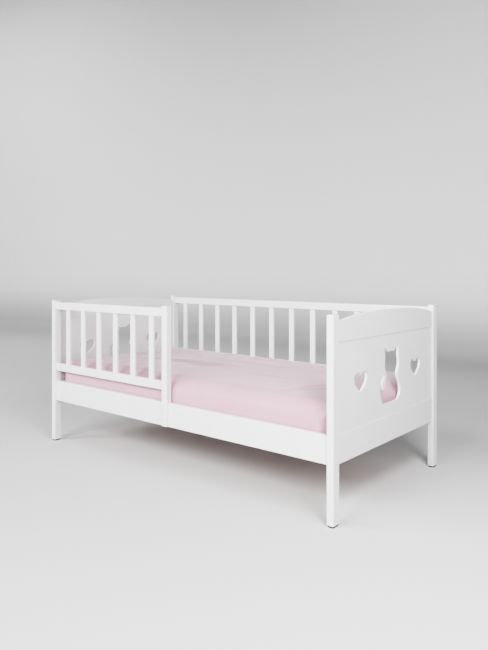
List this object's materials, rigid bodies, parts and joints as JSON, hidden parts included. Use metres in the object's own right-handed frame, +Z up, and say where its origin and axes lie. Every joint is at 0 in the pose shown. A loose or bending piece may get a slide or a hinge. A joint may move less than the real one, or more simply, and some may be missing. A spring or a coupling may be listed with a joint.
{
  "type": "toddler bed",
  "caption": "White toddler bed with arched ends pierced by heart and cat cut-outs, a railed back, a half-length front guard, a slatted base and a pink covered mattress.",
  "frame": {"origin": "on the floor under the middle of the bed: the centre of the bounding box's bottom", "axes": "+X along the bed from the head end, where the guard is, to the foot end; +Y across the bed from the open front to the railed back; +Z up"},
  "size_m": [1.66, 0.86, 0.708],
  "materials": {
    "painted_wood": "satin",
    "slat_wood": "matte",
    "cotton_cover": "matte",
    "glide_pad": "matte",
    "screw_steel": "satin",
    "cap_plastic": "satin"
  },
  "bodies": {
    "frame": {"head_front_post": "painted_wood", "head_front_glide": "glide_pad", "head_rear_post": "painted_wood", "head_rear_glide": "glide_pad", "head_top_rail": "painted_wood", "head_panel": "painted_wood", "head_bottom_rail": "painted_wood", "foot_front_post": "painted_wood", "foot_front_glide": "glide_pad", "foot_rear_post": "painted_wood", "foot_rear_glide": "glide_pad", "foot_top_rail": "painted_wood", "foot_panel": "painted_wood", "foot_bottom_rail": "painted_wood", "front_side_board": "painted_wood", "rear_side_board": "painted_wood", "front_ledger": "slat_wood", "rear_ledger": "slat_wood", "slat_1": "slat_wood", "slat_2": "slat_wood", "slat_3": "slat_wood", "slat_4": "slat_wood", "slat_5": "slat_wood", "slat_6": "slat_wood", "slat_7": "slat_wood", "slat_8": "slat_wood", "slat_9": "slat_wood", "slat_10": "slat_wood", "slat_11": "slat_wood", "slat_12": "slat_wood", "rear_top_rail": "painted_wood", "rear_lower_rail": "painted_wood", "rear_baluster_1": "painted_wood", "rear_baluster_2": "painted_wood", "rear_baluster_3": "painted_wood", "rear_baluster_4": "painted_wood", "rear_baluster_5": "painted_wood", "rear_baluster_6": "painted_wood", "rear_baluster_7": "painted_wood", "rear_baluster_8": "painted_wood", "rear_baluster_9": "painted_wood", "rear_baluster_10": "painted_wood", "rear_baluster_11": "painted_wood", "rear_baluster_12": "painted_wood", "guard_top_rail": "painted_wood", "guard_lower_rail": "painted_wood", "guard_baluster_1": "painted_wood", "guard_baluster_2": "painted_wood", "guard_baluster_3": "painted_wood", "guard_baluster_4": "painted_wood", "guard_baluster_5": "painted_wood", "guard_baluster_6": "painted_wood", "guard_post": "painted_wood", "guard_screw_1": "screw_steel", "guard_screw_2": "screw_steel", "guard_post_cap": "cap_plastic"},
    "mattress": {"mattress": "cotton_cover"}
  },
  "joints": [
    {"name": "mattress_lift", "type": "slide", "parent": "frame", "child": "mattress", "axis": [0, 0, 1], "range_m": [0, 0.5]}
  ]
}
